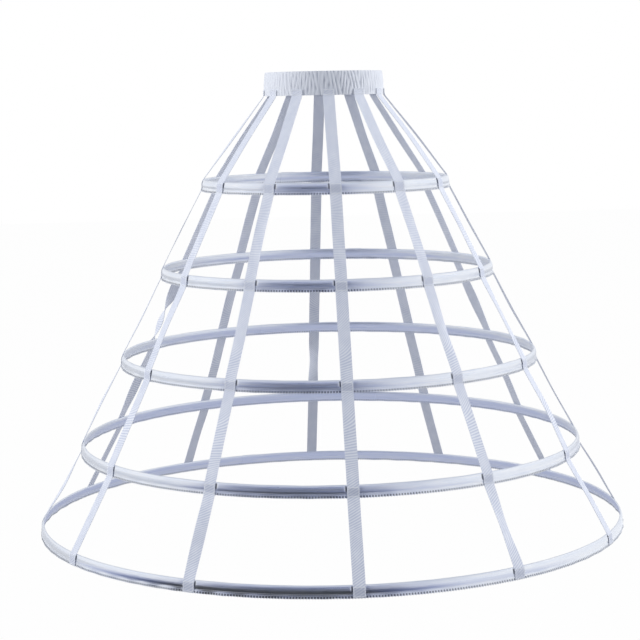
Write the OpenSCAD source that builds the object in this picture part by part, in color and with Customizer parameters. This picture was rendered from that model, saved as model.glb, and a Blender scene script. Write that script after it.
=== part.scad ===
// Crinoline cage: ribbon-cased hoops hung by tapes from a gathered, elasticated waistband.
// Millimetres, +Z up. The origin is the middle of the hem hoop, on the plane the hem stands on.
// The front of the cage faces -Y.

/* [Waistband] */
// Inside diameter of the waist opening
waist_d = 220; // [180:1:360]
// Height of the waistband
waist_h = 46; // [34:1:70]
// Thickness of the waistband cloth
waist_cloth_t = 0.8; // [0.5:0.1:1.5]
// Height of the sewn edge above and below the elastic
waist_seam = 4; // [2:0.5:8]
// Thickness of the elastic
elastic_t = 1.6; // [0.8:0.1:3]
// Number of gathers round the waistband
gather_count = 80; // [40:1:110]
// Depth of a gather, from valley to crest
gather_depth = 2.4; // [1:0.1:4]
// How much further out the lower edge stands than the top edge
waist_flare = 2; // [0:0.1:6]

/* [Hoops] */
// Number of hoops
hoop_count = 5; // [3:1:8]
// Diameter of the top hoop
top_hoop_d = 481; // [420:1:620]
// Diameter of the hem hoop
hem_hoop_d = 1150; // [900:1:1400]
// Drop from the waistband to the top hoop, and from hoop to hoop
hoop_drop = 170; // [100:1:230]
// Drop from the last hoop but one to the hem hoop
hem_drop = 154; // [90:1:230]

/* [Hoop casing] */
// Height of the channel that holds the bone, outside
channel_h = 14.5; // [13:0.5:20]
// Thickness of the channel that holds the bone, outside
channel_t = 5.2; // [4.8:0.1:8]
// Thickness of the casing ribbon
ribbon_t = 0.6; // [0.4:0.05:0.8]
// Height of the sewn flange under the channel
flange_h = 9.5; // [6:0.5:16]
// Lean of the casing from upright, top edge inward
hoop_lean = 13; // [0:1:25]
// Length over which the ribbon's two ends lap, at the bone's joint
ribbon_lap = 30; // [10:1:50]

/* [Bones] */
// Width of the spring steel bone
bone_w = 8; // [5:0.1:8.5]
// Thickness of the bone
bone_t = 0.8; // [0.5:0.05:1]
// Gap between the two ends of a bone, inside its joiner
bone_end_gap = 2; // [0.5:0.5:6]
// Length of the crimped sleeve that joins the bone's ends
joiner_l = 40; // [20:1:80]
// Thickness of the joiner's sheet metal
joiner_wall = 0.35; // [0.3:0.05:0.6]
// Clearance round the bone in its joiner, and round the elastic in the waistband
slip_fit = 0.1; // [0.05:0.05:0.2]

/* [Tapes] */
// Number of tapes
tape_count = 12; // [6:1:16]
// Width of a tape
tape_w = 22; // [12:1:32]
// Thickness of a tape
tape_t = 0.8; // [0.4:0.1:1.5]
// Height of tape sewn over the lower part of the waistband
tape_lap = 12; // [6:1:24]
// Distance of the tape's sewing line, and of its end, from a casing's lower edge
tape_sew_margin = 2; // [1:0.5:4]
// Gap between a tape and the cloth it is sewn to
tape_clearance = 0.2; // [0.1:0.05:0.5]

/* [Hidden] */
$fn = 180;

// Colours of the cloth and of the hidden pieces
satin_white = [0.88, 0.89, 0.95];
tape_white = [0.84, 0.86, 0.93];
waist_white = [0.86, 0.88, 0.95];
elastic_white = [0.93, 0.92, 0.88];
bone_white = [0.95, 0.95, 0.95];
joiner_grey = [0.66, 0.67, 0.69];

// Hoops, numbered from 0 at the top
hem = hoop_count - 1;
band_h = channel_h + flange_h;
hem_z = band_h / 2 * cos(hoop_lean);
hoop_r = [for (i = [0:hem]) (top_hoop_d + (hem_hoop_d - top_hoop_d) * i / hem) / 2];
hoop_z = [for (i = [0:hem]) hem_z + (i == hem ? 0 : hem_drop + hoop_drop * (hem - 1 - i))];

// Radius of the arcs of a lens of a given height and thickness
function lens_arc(h, t) = (h * h + t * t) / (4 * t);
channel_arc = lens_arc(channel_h, channel_t);
channel_v = flange_h / 2;

// Joiner: the hole round the bone, and half the outside thickness of its round-edged sleeve
joiner_hole = [bone_t + 2 * slip_fit, bone_w + 2 * slip_fit];
joiner_r = joiner_hole.x / 2 + joiner_wall;
joint_stagger = 180 / tape_count;

// Waistband, built from its bore outward
waist_z = hoop_z[0] + hoop_drop;
elastic_slot_r = waist_d / 2 + waist_cloth_t;
elastic_slot_t = elastic_t + 2 * slip_fit;
elastic_h = waist_h - 2 * waist_seam;
waist_valley_r = elastic_slot_r + elastic_slot_t + waist_cloth_t;
waist_cut_over = 5;

// Gathers: heights of the rings of points as shares of the band, columns of points per gather
gather_levels = [0, 0.04, 0.25, 0.5, 0.75, 0.96, 1];
gather_columns = 4 * gather_count;
// Share of a gather's depth that is left where the band's edges are sewn
sewn_depth = 0.4;
// Share of the depth that varies from gather to gather
uneven_depth = 0.35;
// Swing of the gathers' places round the band, in degrees of one gather's wave
gather_drift = 60;
// Swing of a gather's slant between the lower and the top edge, in degrees of its wave
gather_slant = 70;
// How far the rounded top and lower edges draw in
edge_round = 0.8;

// Tapes
tape_pitch = 360 / tape_count;
tape_arc = channel_arc + tape_clearance + tape_t / 2;
tape_arc_steps = 4;

function hoop_name(i, piece) = str("hoop_", i + 1, "_", piece);
function tape_name(k) = str(k < 9 ? "tape_0" : "tape_", k + 1);

// Places in a casing's section: u outward through the band, v up the band, from its middle.
// Each turns into [radius, height] on the cage.
function on_band(i, u, v) = [
    hoop_r[i] + u * cos(hoop_lean) - v * sin(hoop_lean),
    hoop_z[i] + u * sin(hoop_lean) + v * cos(hoop_lean)
];

// Centre, in the section, of the arc that bounds the channel's outer side
arc_u = channel_t / 2 - channel_arc;

// A [radius, height] seen from that centre, along u and v
function from_arc_centre(i, p) =
    let (q = p - on_band(i, arc_u, channel_v))
    [q.x * cos(hoop_lean) + q.y * sin(hoop_lean), q.y * cos(hoop_lean) - q.x * sin(hoop_lean)];

// Angle on that arc where a straight tape through p touches it; side is -1 from above, 1 from below
function touch_angle(i, p, side) =
    let (q = from_arc_centre(i, p))
    atan2(q.y, q.x) + side * acos(tape_arc / norm(q));

// Middle of the tape's thickness where it is sewn to a flange, and on the channel's outer side
function on_flange(i) = on_band(i, ribbon_t + tape_clearance + tape_t / 2, tape_sew_margin - band_h / 2);
function on_channel(i, angle) = on_band(i, arc_u + tape_arc * cos(angle), channel_v + tape_arc * sin(angle));

// The tape over one hoop: round the channel's outer side, then down to the flange
function over_hoop(i, from) =
    let (first = touch_angle(i, from, -1), last = touch_angle(i, on_flange(i), 1))
    concat(
        [for (s = [0:tape_arc_steps]) on_channel(i, first + (last - first) * s / tape_arc_steps)],
        [on_flange(i)]
    );

// Depth of the gathers at a level, as a share, and the largest radius that a crest reaches there
function level_depth(level) = sewn_depth + (1 - sewn_depth) * sin(180 * level);
function level_r(level) = waist_valley_r + waist_flare * (1 - level);
function crest_r(level) = level_r(level) + gather_depth * level_depth(level);

// The tape from its cut end on the waistband down to its end on the hem
lap_levels = [for (s = [0:4]) tape_lap / waist_h * s / 4];
lap_r = max([for (level = lap_levels) crest_r(level)]) + tape_clearance + tape_t / 2;
lap_foot = [lap_r, waist_z];
tape_path = concat(
    [[lap_r, waist_z + tape_lap], lap_foot],
    [for (i = [0:hem]) each over_hoop(i, i == 0 ? lap_foot : on_flange(i - 1))]
);

function unit(v) = v / norm(v);
function left_of(v) = [-v.y, v.x];

// Offset at a path's point that keeps both stretches beside it parallel
function miter(path, i) =
    let (
        a = max(i, 1),
        b = min(i, len(path) - 2),
        before = left_of(unit(path[a] - path[a - 1])),
        after = left_of(unit(path[b + 1] - path[b])),
        middle = unit(before + after)
    )
    middle / (middle * before);

function beside(path, distance) = [for (i = [0:len(path) - 1]) path[i] + distance * miter(path, i)];
function reversed(list) = [for (i = [len(list) - 1:-1:0]) list[i]];

// Radius of the gathered cloth at a turn in degrees and a level from 0, the lower edge, to 1
function gathered_r(turn, level) =
    let (
        drift = gather_drift * (sin(5 * turn + 40) + 0.6 * sin(11 * turn)),
        slant = gather_slant * (2 * level - 1) * sin(7 * turn + 20),
        wave = (1 + cos(gather_count * turn + drift + slant)) / 2,
        share = 1 - uneven_depth * (1 + sin(13 * turn + 90 * level)) / 2,
        edge = (level == 0 || level == 1) ? edge_round : 0
    )
    level_r(level) - edge + gather_depth * level_depth(level) * share * wave;

// A drum whose wall is the gathered outer face of the waistband
module gathered_drum() {
    rows = len(gather_levels);
    n = gather_columns;
    points = [
        for (level = gather_levels, c = [0:n - 1])
            let (turn = 360 * c / n, r = gathered_r(turn, level))
            [r * cos(turn), r * sin(turn), waist_h * level]
    ];
    wall = [
        for (row = [0:rows - 2], c = [0:n - 1])
            let (a = row * n + c, b = row * n + (c + 1) % n)
            each [[a, a + n, b], [b, a + n, b + n]]
    ];
    lower_face = [for (c = [0:n - 1]) c];
    top_face = [for (c = [n - 1:-1:0]) (rows - 1) * n + c];
    polyhedron(points, concat(wall, [lower_face, top_face]));
}

// A round ring of rectangular section, standing on the waistband's lower edge plus a height
module upright_ring(inner_r, wall, height, above) {
    translate([0, 0, waist_z + above])
        difference() {
            cylinder(r = inner_r + wall, h = height);
            translate([0, 0, -waist_cut_over])
                cylinder(r = inner_r, h = height + 2 * waist_cut_over);
        }
}

// Cloth tube of the waistband: gathered outside, round inside, with a slot round the elastic
module waistband_casing() {
    color(waist_white)
        difference() {
            translate([0, 0, waist_z])
                gathered_drum();
            translate([0, 0, waist_z - waist_cut_over])
                cylinder(d = waist_d, h = waist_h + 2 * waist_cut_over);
            upright_ring(
                elastic_slot_r, elastic_slot_t,
                elastic_h + 2 * slip_fit, waist_seam - slip_fit
            );
        }
}

// Woven elastic that draws the waistband in
module waistband_elastic() {
    color(elastic_white)
        upright_ring(elastic_slot_r + slip_fit, elastic_t, elastic_h, waist_seam);
}

// Lens of two equal arcs, taken in on every side by an inset
module lens(h, t, inset = 0) {
    arc = lens_arc(h, t);
    intersection_for (side = [-1, 1])
        translate([side * (arc - t / 2), 0])
            circle(r = arc - inset);
}

// Puts a casing's section at its place on the cage, with v = 0 at the middle of the band
module at_band(i) {
    translate([hoop_r[i], hoop_z[i]])
        rotate(hoop_lean)
            children();
}

// Turn of a bone's joint: behind, between two tapes, to alternate sides from hoop to hoop
function joint_turn(i) = 90 + (i % 2 == 0 ? 1 : -1) * joint_stagger;
function arc_degrees(length, r) = length / r * 180 / PI;

// Ribbon folded round the bone and sewn to itself below it, with its lower edge cut level.
// A layer out lies over the first one, and shares the outer half of its wall.
module casing_section(i, layer = 0) {
    flange_t = 2 * ribbon_t * (1 + layer);
    flange_top = channel_v - channel_h / 2 + 2 * ribbon_t;
    difference() {
        at_band(i) {
            translate([0, channel_v])
                lens(channel_h, channel_t, -ribbon_t * layer);
            translate([-flange_t / 2, -band_h])
                square([flange_t, band_h + flange_top]);
        }
        at_band(i)
            translate([0, channel_v])
                lens(channel_h, channel_t, ribbon_t * (1 - layer / 2));
        translate([hoop_r[i] - band_h, hoop_z[i] - hem_z - 2 * band_h])
            square(2 * band_h);
    }
}

// Casing all round, with its ends lapped over the bone's joint
module hoop_casing(i) {
    lap = arc_degrees(ribbon_lap, hoop_r[i]);
    color(satin_white) {
        rotate_extrude()
            casing_section(i);
        rotate(joint_turn(i) - lap / 2)
            rotate_extrude(angle = lap)
                casing_section(i, 1);
    }
}

// Flat bone with its ends a little apart
module hoop_bone(i) {
    gap = arc_degrees(bone_end_gap, hoop_r[i]);
    color(bone_white)
        rotate(joint_turn(i) + gap / 2)
            rotate_extrude(angle = 360 - gap)
                at_band(i)
                    translate([0, channel_v])
                        square([bone_t, bone_w], center = true);
}

// Flat sleeve with round edges, folded from sheet metal round a bone
module joiner_section() {
    flat_h = joiner_hole.y + 2 * joiner_wall - 2 * joiner_r;
    difference() {
        union() {
            square([2 * joiner_r, flat_h], center = true);
            for (side = [-1, 1])
                translate([0, side * flat_h / 2])
                    circle(r = joiner_r);
        }
        square(joiner_hole, center = true);
    }
}

// Crimped sleeve over the two ends of a bone
module hoop_joiner(i) {
    span = arc_degrees(joiner_l, hoop_r[i]);
    color(joiner_grey)
        rotate(joint_turn(i) - span / 2)
            rotate_extrude(angle = span)
                at_band(i)
                    translate([0, channel_v])
                        joiner_section();
}

// One woven tape, flat across its width, from the waistband over every hoop to the hem
module tape(k) {
    color(tape_white)
        rotate(k * tape_pitch - 90)
            rotate([90, 0, 0])
                linear_extrude(tape_w, center = true)
                    polygon(concat(beside(tape_path, tape_t / 2), reversed(beside(tape_path, -tape_t / 2))));
}

waistband_casing();
waistband_elastic();
for (i = [0:hem]) {
    hoop_casing(i);
    hoop_bone(i);
    hoop_joiner(i);
}
for (k = [0:tape_count - 1]) {
    tape(k);
}
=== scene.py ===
"""Looks of a crinoline cage: satin-cased hoops hung by woven tapes from a gathered waistband.

Metres, +Z up, and the front of the cage faces -Y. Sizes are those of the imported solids, and the cloth
is laid over them as surfaces worked out on grids.
"""
import math

import bpy
import numpy as np
from mathutils import Matrix, Vector


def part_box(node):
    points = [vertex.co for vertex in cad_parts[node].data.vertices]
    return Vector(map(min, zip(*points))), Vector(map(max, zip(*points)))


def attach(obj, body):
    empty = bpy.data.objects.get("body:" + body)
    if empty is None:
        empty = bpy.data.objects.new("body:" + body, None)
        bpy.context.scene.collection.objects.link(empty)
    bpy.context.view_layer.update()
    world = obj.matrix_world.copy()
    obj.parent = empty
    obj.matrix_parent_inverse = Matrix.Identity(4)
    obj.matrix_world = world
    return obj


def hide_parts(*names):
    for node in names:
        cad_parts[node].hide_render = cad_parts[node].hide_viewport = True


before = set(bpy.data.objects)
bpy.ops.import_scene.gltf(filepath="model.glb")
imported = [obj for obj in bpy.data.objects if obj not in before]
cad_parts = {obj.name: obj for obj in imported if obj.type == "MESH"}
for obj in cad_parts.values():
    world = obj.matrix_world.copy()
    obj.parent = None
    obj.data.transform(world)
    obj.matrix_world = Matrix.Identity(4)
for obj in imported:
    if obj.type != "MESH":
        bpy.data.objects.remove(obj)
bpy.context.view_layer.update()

MM = 0.001
FRONT = -math.pi / 2

# Waistband
waist_low, waist_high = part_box("waistband_casing")
WAIST_Z = waist_low.z
WAIST_H = waist_high.z - waist_low.z
WAIST_BORE_R = 110 * MM
WAIST_CLOTH_T = 0.8 * MM
WAIST_VALLEY_R = 113.4 * MM
WAIST_FLARE = 2 * MM
GATHERS = 88
FORKS = 13
GATHER_DEPTH = 2.4 * MM
CRINKLE = 0.2 * MM
SEWN_DEPTH = 0.4

# Hoops, numbered from 0 at the top
HOOPS = 5
TOP_HOOP_R = 240.5 * MM
HEM_HOOP_R = 575 * MM
HOOP_R = np.linspace(TOP_HOOP_R, HEM_HOOP_R, HOOPS)

# Hoop casing: u runs outward through the band and v up the band, from its middle
CHANNEL_H = 14.5 * MM
CHANNEL_T = 5.2 * MM
RIBBON_T = 0.6 * MM
FLANGE_H = 9.5 * MM
BAND_H = CHANNEL_H + FLANGE_H
LEAN = math.radians(13)
CHANNEL_V = FLANGE_H / 2
CHANNEL_ARC = (CHANNEL_H**2 + CHANNEL_T**2) / (4 * CHANNEL_T)
BAND_RISE = BAND_H / 2 * math.cos(LEAN)
HOOP_Z = np.array([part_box(f"hoop_{i + 1}_casing")[0].z + BAND_RISE for i in range(HOOPS)])
RIBBON_W = 51 * MM
RIBBON_LAP = 30 * MM
# Height of the ribbon's edges above the solid's lower edge, which leaves room for the overcasting
EDGE_RISE = 1.25 * MM
EDGE_V = EDGE_RISE - BAND_H / 2
SEAM_V = CHANNEL_V - CHANNEL_H / 2 - 0.8 * MM
SECOND_SEAM_V = SEAM_V - 2.6 * MM
PLY_U = RIBBON_T / 2 + 0.03 * MM

# Tapes
TAPES = 12
TAPE_TURN = 2 * math.pi / TAPES
TAPE_W = 22 * MM
TAPE_T = 0.8 * MM
TAPE_LAP = 12 * MM
TAPE_SEW_MARGIN = 2 * MM
TAPE_CLEARANCE = 0.2 * MM
TAPE_ARC = CHANNEL_ARC + TAPE_CLEARANCE + TAPE_T / 2

# Sewing
STITCH_L = 3.1 * MM
STITCH_PITCH = 3.9 * MM
THREAD_W = 0.7 * MM
THREAD_H = 0.6 * MM
ZIGZAG_W = 2.3 * MM
ZIGZAG_PITCH = 0.9 * MM
BOX_INSET = 1.3 * MM
OVERCAST_PITCH = 5.2 * MM
OVERCAST_RISE = 3.2 * MM
OVERCAST_R = 0.55 * MM
# How far the thread's middle stands off the cloth, and how far it dips below the ribbon's edge
OVERCAST_OFF = 0.4 * OVERCAST_R
OVERCAST_DIP = 1.2 * OVERCAST_R
OVERCAST_STEPS = 6
OVERCAST_POWER = 0.35

# Uneven waves
WAVES_ADDED = 5
WAVE_SPREAD = (0.55, 1.45)
WAVE_SUM = 2.6

# Meshes, and the layout of their maps for baking: rows of strips, and the strips' ends above them
SHARP_ANGLE = math.radians(55)
BAKE_STRIPS = 0.96
BAKE_MARGIN = 0.02
BAKE_ENDS = 0.97
BAKE_END_STEP = 0.015
BAKE_END_H = 0.01


# Shapes along and round the cage

def smooth(x):
    """Smooth step: 3x^2 - 2x^3 from 0 to 1, and level outside."""
    x = np.clip(x, 0.0, 1.0)
    return x * x * (3.0 - 2.0 * x)


def uneven(turn, waves, seed):
    """Uneven wave round a ring, about -1 to 1: cosines with whole counts near waves, added and scaled."""
    draw = np.random.default_rng(seed)
    counts = np.round(waves * draw.uniform(*WAVE_SPREAD, WAVES_ADDED))
    phases = draw.uniform(0, 2 * math.pi, WAVES_ADDED)
    return np.cos(np.multiply.outer(turn, counts) + phases).sum(-1) / WAVE_SUM


def from_tape(turn, radius):
    """Length of arc from a turn to the middle of the nearest tape."""
    half = TAPE_TURN / 2
    return radius * np.abs((turn - FRONT + half) % TAPE_TURN - half)


def on_band(hoop, u, v):
    """Radius and height of a place (u, v) in a hoop's leaning section."""
    r = HOOP_R[hoop] + u * math.cos(LEAN) - v * math.sin(LEAN)
    z = HOOP_Z[hoop] + u * math.sin(LEAN) + v * math.cos(LEAN)
    return r, z


def round_axis(turn, r, z):
    """Points, or directions, with these outward and upward parts at these turns about the axis."""
    turn, r, z = np.broadcast_arrays(turn, r, z)
    return np.stack([r * np.cos(turn), r * np.sin(turn), z], -1)


def length_along(a, b):
    """Length from a line's start to each of its points."""
    return np.concatenate([[0], np.cumsum(np.hypot(np.diff(a), np.diff(b)))])


def unit(vectors):
    """Vectors brought to a length of 1."""
    return vectors / np.linalg.norm(vectors, axis=-1, keepdims=True)


# Meshes

def grid_faces(rows, columns, ring_rows, ring_columns):
    """Quads of a grid of points, and each corner's row and column before it wraps round."""
    row = np.arange(rows if ring_rows else rows - 1)[:, None, None]
    column = np.arange(columns if ring_columns else columns - 1)[None, :, None]
    shape = (row.size, column.size, 4)
    rows_at = np.broadcast_to(row + np.array([0, 0, 1, 1]), shape).reshape(-1, 4)
    columns_at = np.broadcast_to(column + np.array([0, 1, 1, 0]), shape).reshape(-1, 4)
    return (rows_at % rows) * columns + columns_at % columns, rows_at, columns_at


def faces_inward(points, quads):
    """True where closed quads enclose a negative volume: the sum of their tetrahedra to the origin."""
    a, b, c, d = (points[quads[:, i]] for i in range(4))
    return np.einsum("ij,ij->", a, np.cross(b, c) + np.cross(c, d)) < 0


def new_piece(name, points, groups, maps=(), shade=None):
    """An object from points and groups of faces with equal numbers of corners.

    The maps give each corner a place, and the shade is a value at each point.
    """
    mesh = bpy.data.meshes.new(name)
    corners = np.concatenate([g.reshape(-1) for g in groups]).astype(np.int32)
    counts = np.concatenate([np.full(len(g), g.shape[1], np.int32) for g in groups])
    starts = np.concatenate([[0], np.cumsum(counts)[:-1]]).astype(np.int32)
    mesh.vertices.add(len(points))
    mesh.vertices.foreach_set("co", points.astype(np.float32).reshape(-1))
    mesh.loops.add(len(corners))
    mesh.loops.foreach_set("vertex_index", corners)
    mesh.polygons.add(len(counts))
    mesh.polygons.foreach_set("loop_start", starts)
    mesh.polygons.foreach_set("loop_total", counts)
    mesh.polygons.foreach_set("use_smooth", np.ones(len(counts), bool))
    mesh.update(calc_edges=True)
    for map_name, places in maps:
        layer = mesh.uv_layers.new(name=map_name)
        flat = np.concatenate([p.reshape(-1) for p in places])
        layer.uv.foreach_set("vector", flat.astype(np.float32))
    if shade is not None:
        layer = mesh.attributes.new("shade", "FLOAT", "POINT")
        layer.data.foreach_set("value", shade.astype(np.float32).reshape(-1))
    mesh.set_sharp_from_angle(angle=SHARP_ANGLE)
    piece = bpy.data.objects.new(name, mesh)
    bpy.context.scene.collection.objects.link(piece)
    return piece


def bake_places(along, around, rows):
    """Places on a square map for a long strip, which is cut into rows, one above the other."""
    row = np.minimum(np.floor(along.mean(-1, keepdims=True) * rows), rows - 1)
    level = row + BAKE_MARGIN + (1 - 2 * BAKE_MARGIN) * around
    return np.stack([along * rows - row, BAKE_STRIPS * level / rows], -1)


def cloth_piece(name, middle, normal, over, under, along, across, ring, bake_rows, start=0.0, shade=None):
    """A sheet of cloth, as a ring or a strip with two ends.

    The middle surface, a grid of points along and across the cloth, is moved out along its normals by over
    and in by under, and the two faces are joined all round. The map 'cloth' holds each corner's place on
    the flat cloth in metres, which begins at start. The shade is the outer face's.
    """
    rows, columns = middle.shape[:2]
    loop = np.concatenate([middle + normal * over, (middle - normal * under)[:, ::-1]], 1)
    points = loop.reshape(-1, 3)
    width = 2 * columns
    quads, row, column = grid_faces(rows, width, ring, True)
    across_at = np.concatenate([across, across[::-1], across[:1]])
    groups = [quads]
    flats = [np.stack([start + along[row], across_at[column]], -1)]
    bakes = [bake_places(along[row] / along[-1], column / width, bake_rows)]
    if not ring:
        for place, (first, order) in enumerate(((0, -1), (rows - 1, 1))):
            at = np.arange(width)[::order]
            share = across_at[at] / across_at.max()
            groups.append((first * width + at)[None])
            flats.append(np.stack([np.full(width, start + along[first]), across_at[at]], -1))
            level = BAKE_ENDS + BAKE_END_STEP * place + BAKE_END_H * (at >= columns)
            bakes.append(np.stack([share, level], -1))
    if faces_inward(points, quads):
        groups = [g[:, ::-1] for g in groups]
        flats = [f[..., ::-1, :] for f in flats]
        bakes = [b[..., ::-1, :] for b in bakes]
    if shade is not None:
        shade = np.concatenate([shade, np.zeros_like(shade)], 1)
    return new_piece(name, points, groups, [("cloth", flats), ("OFBake", bakes)], shade)


def stitch_piece(name, rows, length=STITCH_L):
    """Stitches: at each centre, a three-sided grain with pointed ends along one way, raised along another.

    The rows hold the stitches' centres, the ways they run and the ways out of the cloth.
    """
    centre, along, out = (np.concatenate(part) for part in zip(*rows))
    side = np.cross(out, along)
    tip, ring = 0.5, 0.27
    section = ((0.5, -0.1), (0.0, 0.5), (-0.5, -0.1))
    sides = len(section)
    template = np.array(
        [[-tip, 0, 0]]
        + [[-ring, y, z] for y, z in section]
        + [[ring, y, z] for y, z in section]
        + [[tip, 0, 0]]
    ) * np.array([length, THREAD_W, THREAD_H])
    points = centre[:, None] + sum(
        template[None, :, i, None] * axis[:, None] for i, axis in enumerate((along, side, out))
    )
    first = 1 + np.arange(sides)
    after = 1 + np.arange(1, sides + 1) % sides
    walls = np.stack([first, after, after + sides, first + sides], -1)
    tips = np.concatenate([
        np.stack([0 * first, after, first], -1),
        np.stack([0 * first + 2 * sides + 1, first + sides, after + sides], -1),
    ])
    step = len(template) * np.arange(len(centre))[:, None, None]
    groups = [(walls + step).reshape(-1, 4), (tips + step).reshape(-1, 3)]
    return new_piece(name, points.reshape(-1, 3), groups)


def thread_ring(name, path, axis, radius, sides=3):
    """A thread round a closed path: at each point, a small polygon square to the path."""
    forward = unit(np.roll(path, -1, 0) - np.roll(path, 1, 0))
    first = unit(np.cross(forward, axis))
    second = np.cross(forward, first)
    turn = 2 * math.pi * np.arange(sides) / sides
    ring = first[:, None] * np.cos(turn)[:, None] + second[:, None] * np.sin(turn)[:, None]
    points = (path[:, None] + radius * ring).reshape(-1, 3)
    quads = grid_faces(len(path), sides, True, True)[0]
    return new_piece(name, points, [quads[:, ::-1] if faces_inward(points, quads) else quads])


# Hoop casings

PINCH_DEPTH = 0.35 * MM
PINCH_FLAT = 10 * MM
PINCH_END = 18 * MM
# The hollow beside a tape, and how far its painted shade reaches up and down the channel and fades
HOLLOW_DEPTH = 0.9 * MM
HOLLOW_W = 5 * MM
HOLLOW_OFF = 0.3 * HOLLOW_W
HOLLOW_POWER = 3
HOLLOW_REACH = 0.40 * CHANNEL_H
HOLLOW_FADE = 2 * MM
# Columns round a casing, close together in the zone of each tape and at a lap's ends
TAPE_ZONE = 18 * MM
ZONE_COLUMNS = 29
WIDE_STEP = 6.5 * MM
LAP_STEP = 0.3 * MM
LAP_COLUMNS = np.array([-0.5, -0.15, 0.15, 0.5]) * MM
# Points on the section, and the power that shapes the channel
FLANGE_POINTS = 4
CHANNEL_POINTS = 11
CHANNEL_POWER = 1.2
# Unevenness of the ribbon, with the lengths of its waves and their seeds
RIPPLE_DEPTH = 0.75 * MM
RIPPLE_L = 0.055
FULLNESS = 0.08
FULLNESS_L = 0.08
TOP_RISE = 0.02
EDGE_WANDER = 0.25 * MM
RIPPLE_SEED, OUTER_SEED, INNER_SEED, TOP_SEED, EDGE_SEED = 20, 40, 60, 80, 100


def pinch(turn, radius):
    """1 under a tape, where its sewing draws the channel in, and 0 a little beside it."""
    return smooth((PINCH_END - from_tape(turn, radius)) / (PINCH_END - PINCH_FLAT))


def hollow(turn, radius):
    """1 in the small hollow beside the edge of each tape that is nearer the front, and 0 around it."""
    place = (turn - FRONT) / TAPE_TURN + 0.5
    side = np.where(np.floor(place) % TAPES < TAPES / 2, -1, 1)
    beside = side * radius * TAPE_TURN * (place % 1 - 0.5) - TAPE_W / 2 - HOLLOW_OFF
    return smooth(1 - np.abs(beside) / (HOLLOW_W / 2))


def joint_turn(hoop):
    """Turn of a casing's lap, behind and between two tapes, to alternate sides from hoop to hoop."""
    return math.pi / 2 + (TAPE_TURN / 2 if hoop % 2 == 0 else -TAPE_TURN / 2)


def lap_share(hoop, turn):
    """1 where the ribbon's ends lap and 0 elsewhere, with a short step between."""
    distance = HOOP_R[hoop] * np.abs((turn - joint_turn(hoop) + math.pi) % (2 * math.pi) - math.pi)
    return smooth((RIBBON_LAP / 2 - distance) / LAP_STEP + 0.5)


def casing_turns(hoop):
    """Turns of a casing's columns: close beside each tape and at the lap's ends, and wider elsewhere."""
    radius = HOOP_R[hoop]
    half = radius * TAPE_TURN / 2
    near = np.linspace(-TAPE_ZONE, TAPE_ZONE, ZONE_COLUMNS)
    gaps = math.ceil((half - TAPE_ZONE) / WIDE_STEP)
    far = TAPE_ZONE + (half - TAPE_ZONE) * np.arange(1, gaps + 1) / gaps
    sector = np.concatenate([-far[::-1], near, far[:-1]]) / radius
    turns = (FRONT + TAPE_TURN * np.arange(TAPES)[:, None] + sector).reshape(-1)
    ends = np.concatenate([LAP_COLUMNS - RIBBON_LAP / 2, LAP_COLUMNS + RIBBON_LAP / 2])
    return np.sort(np.concatenate([turns, joint_turn(hoop) + ends / radius]))


def flange_shift(hoop, turn, v):
    """How far the flange stands out of its plane: ripples that grow downward, and none under a tape."""
    radius = HOOP_R[hoop]
    drop = np.clip((SEAM_V - v) / (SEAM_V - EDGE_V), 0, 1)
    waves = 2 * math.pi * radius / RIPPLE_L
    free = 1 - pinch(turn, radius)
    return RIPPLE_DEPTH * drop * free * uneven(turn, waves, RIPPLE_SEED + hoop)


def casing_grid(hoop, turn):
    """Middle line of the folded ribbon's section at each turn, as grids of u and v.

    The ribbon goes up the outer flange, round the outer side of the channel, over the top fold and down
    inside in the same way. On the channel, v follows a sine and u a cosine to a power, between an oval and
    a lens.
    """
    radius = HOOP_R[hoop]
    turn = turn[:, None]
    waves = 2 * math.pi * radius / FULLNESS_L
    flange_v = np.linspace(EDGE_V, SEAM_V, FLANGE_POINTS)
    swing = np.linspace(-math.pi / 2, math.pi / 2, CHANNEL_POINTS)[1:-1]
    bulge = np.cos(swing) ** CHANNEL_POWER
    half_t = (CHANNEL_T - RIBBON_T) / 2 - PLY_U
    half_h = (CHANNEL_H - RIBBON_T) / 2
    full_out = half_t * (1 + FULLNESS * uneven(turn, waves, OUTER_SEED + hoop))
    full_out = full_out - PINCH_DEPTH * pinch(turn, radius)
    full_in = half_t * (1 + FULLNESS * uneven(turn, waves, INNER_SEED + hoop))
    dip = HOLLOW_DEPTH * hollow(turn, radius) * bulge**HOLLOW_POWER
    rise = half_h * (1 + TOP_RISE * uneven(turn, waves, TOP_SEED + hoop))
    wall_v = CHANNEL_V + rise * np.sin(swing)
    wander = EDGE_WANDER * uneven(turn, 2 * waves, EDGE_SEED + hoop)
    edge_v = flange_v + wander * (flange_v == EDGE_V)
    shift = flange_shift(hoop, turn, edge_v)
    u = np.concatenate([
        PLY_U + shift, PLY_U + full_out * bulge - dip, 0 * turn,
        (-PLY_U - full_in * bulge)[:, ::-1], (shift - PLY_U)[:, ::-1],
    ], 1)
    v = np.concatenate([edge_v, wall_v, CHANNEL_V + rise, wall_v[:, ::-1], edge_v[:, ::-1]], 1)
    return u, v


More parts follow.
